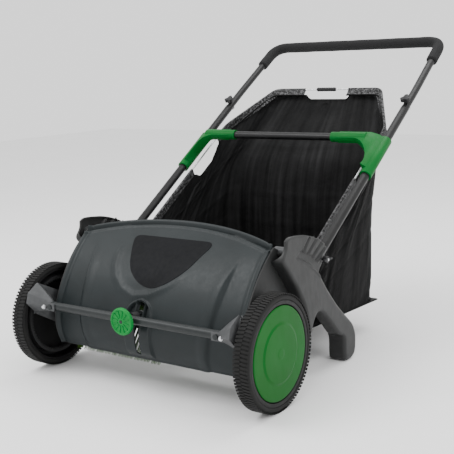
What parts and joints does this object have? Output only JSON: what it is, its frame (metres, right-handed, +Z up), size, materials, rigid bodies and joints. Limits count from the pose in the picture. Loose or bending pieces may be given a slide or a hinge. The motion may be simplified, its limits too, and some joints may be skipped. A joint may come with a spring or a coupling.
{
  "type": "push lawn sweeper",
  "caption": "Push lawn sweeper: rounded brush cover on two disc wheels, side legs, rear leaf bag on a wire rim and a tubular push handle.",
  "frame": {"origin": "middle of the bounding box, on the floor", "axes": "+Z up, -Y the direction in which the machine is pushed, +Y towards the handle, +X across the machine"},
  "size_m": [0.679, 1.1452, 0.7802],
  "materials": {
    "cover_plastic": "satin",
    "bracket_plastic": "satin",
    "black_tube": "satin",
    "green_plastic": "satin",
    "disc_plastic": "satin",
    "knob_plastic": "satin",
    "tyre_rubber": "matte",
    "rim_plastic": "satin",
    "steel": "satin",
    "wire": "satin",
    "bristle": "matte",
    "gear_plastic": "satin",
    "foam": "matte",
    "knob_black": "satin",
    "bag_cloth": "woven",
    "bag_board": "matte"
  },
  "bodies": {
    "chassis": {"hood_shell": "cover_plastic", "rear_tie_rod": "black_tube", "crossbar": "black_tube", "upper_handle": "black_tube", "foam_grip": "foam", "end_plate_left": "bracket_plastic", "end_plate_right": "bracket_plastic", "side_bracket_left": "bracket_plastic", "side_bracket_right": "bracket_plastic", "brush_bushing_left": "gear_plastic", "brush_bushing_right": "gear_plastic", "bracket_bolt_left": "steel", "bracket_bolt_right": "steel", "lower_tube_left": "black_tube", "lower_tube_right": "black_tube", "cross_clamp_left": "green_plastic", "cross_clamp_right": "green_plastic", "handle_bolt_left": "steel", "handle_bolt_right": "steel"},
    "bail": {"front_bar": "black_tube", "height_bolt": "steel", "height_spacer": "gear_plastic", "arm_left": "black_tube", "arm_right": "black_tube", "arm_screw_left": "steel", "arm_screw_right": "steel", "stub_axle_left": "steel", "stub_axle_right": "steel", "axle_clip_left": "steel", "axle_clip_right": "steel"},
    "height_knob": {"height_knob": "knob_plastic"},
    "wheel_left": {"tyre_left": "tyre_rubber", "wheel_rim_left": "rim_plastic", "wheel_disc_left": "disc_plastic", "ring_gear_left": "gear_plastic"},
    "wheel_right": {"tyre_right": "tyre_rubber", "wheel_rim_right": "rim_plastic", "wheel_disc_right": "disc_plastic", "ring_gear_right": "gear_plastic"},
    "pinion_left": {"pinion_left": "gear_plastic"},
    "pinion_right": {"pinion_right": "gear_plastic"},
    "brush": {"brush_shaft": "steel", "drive_pin_left": "steel", "drive_pin_right": "steel", "brush_holder_left": "gear_plastic", "brush_holder_right": "gear_plastic", "bristles_left": "bristle", "bristles_right": "bristle"},
    "handle_knob_left": {"handle_knob_left": "knob_black"},
    "handle_knob_right": {"handle_knob_right": "knob_black"},
    "wing_nut_left": {"wing_nut_left": "knob_black"},
    "wing_nut_right": {"wing_nut_right": "knob_black"},
    "bag": {"bag_fabric": "bag_cloth", "bag_floor": "bag_board", "bag_frame": "wire"},
    "bag_grip": {"bag_grip": "knob_black"}
  },
  "joints": [
    {"name": "height_adjust", "type": "hinge", "parent": "chassis", "child": "bail", "pos_m": [0, -0.37733, 0.127], "axis": [1, 0, 0], "range_deg": [-8, 30]},
    {"name": "height_knob_spin", "type": "hinge", "parent": "bail", "child": "height_knob", "pos_m": [-0.008, -0.54733, 0.174], "axis": [0, 1, 0], "continuous": true},
    {"name": "wheel_left_spin", "type": "hinge", "parent": "bail", "child": "wheel_left", "pos_m": [-0.32, -0.44733, 0.127], "axis": [1, 0, 0], "continuous": true},
    {"name": "wheel_right_spin", "type": "hinge", "parent": "bail", "child": "wheel_right", "pos_m": [0.32, -0.44733, 0.127], "axis": [1, 0, 0], "continuous": true},
    {"name": "pinion_left_spin", "type": "hinge", "parent": "bail", "child": "pinion_left", "pos_m": [-0.314, -0.37733, 0.127], "axis": [1, 0, 0], "continuous": true},
    {"name": "pinion_right_spin", "type": "hinge", "parent": "bail", "child": "pinion_right", "pos_m": [0.314, -0.37733, 0.127], "axis": [1, 0, 0], "continuous": true},
    {"name": "brush_spin", "type": "hinge", "parent": "chassis", "child": "brush", "pos_m": [0, -0.37733, 0.127], "axis": [1, 0, 0], "continuous": true},
    {"name": "handle_knob_left_spin", "type": "hinge", "parent": "chassis", "child": "handle_knob_left", "pos_m": [-0.2865, 0.29065, 0.61069], "axis": [0, -0.5417, 0.8406], "continuous": true},
    {"name": "handle_knob_right_spin", "type": "hinge", "parent": "chassis", "child": "handle_knob_right", "pos_m": [0.2865, 0.29065, 0.61069], "axis": [0, -0.5417, 0.8406], "continuous": true},
    {"name": "wing_nut_left_spin", "type": "hinge", "parent": "chassis", "child": "wing_nut_left", "pos_m": [-0.312, -0.2019, 0.2766], "axis": [1, 0, 0], "continuous": true},
    {"name": "wing_nut_right_spin", "type": "hinge", "parent": "chassis", "child": "wing_nut_right", "pos_m": [0.312, -0.2019, 0.2766], "axis": [1, 0, 0], "continuous": true},
    {"name": "bag_lift", "type": "slide", "parent": "chassis", "child": "bag", "axis": [0, 0.8406, 0.5417], "range_m": [0, 0.16]},
    {"name": "bag_grip_roll", "type": "hinge", "parent": "bag", "child": "bag_grip", "pos_m": [0, 0.37486, 0.63878], "axis": [1, 0, 0], "continuous": true}
  ],
  "couplings": [
    {"joint": "wheel_left_spin", "follows": "brush_spin", "ratio": 0.2},
    {"joint": "pinion_left_spin", "follows": "brush_spin", "ratio": 1},
    {"joint": "pinion_right_spin", "follows": "wheel_right_spin", "ratio": 5}
  ]
}
